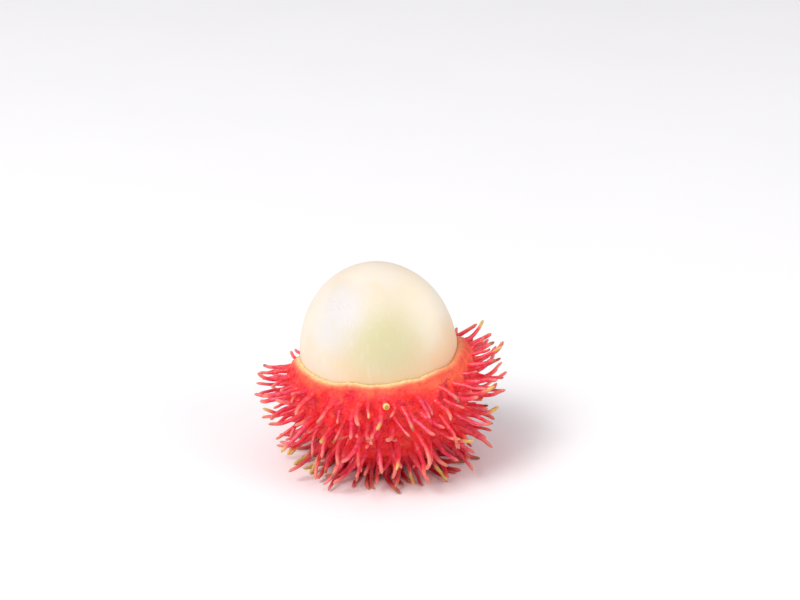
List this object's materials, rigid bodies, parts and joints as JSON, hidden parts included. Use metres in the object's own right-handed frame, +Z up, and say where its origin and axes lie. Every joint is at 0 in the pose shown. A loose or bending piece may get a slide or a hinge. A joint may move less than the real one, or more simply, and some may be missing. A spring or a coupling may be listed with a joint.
{
  "type": "half-peeled rambutan",
  "caption": "Half-peeled rambutan: a cup of red rind with soft curling spines, torn round its rim, with the whole smooth white ball of flesh sitting in it.",
  "frame": {"origin": "centre of the small flat spot that the fruit rests on", "axes": "+Z up, -Z out of the flat spot; the fruit's own axis leans 6 degrees towards -X (left) and 4 degrees towards -Y (the front)"},
  "size_m": [0.0545, 0.056, 0.0438],
  "materials": {
    "rind": "satin, bumpy red skin; the torn rim is cream",
    "flesh": "moist, smooth, slightly translucent white"
  },
  "bodies": {
    "root": {"rind": "rind", "flesh": "flesh"}
  },
  "joints": []
}
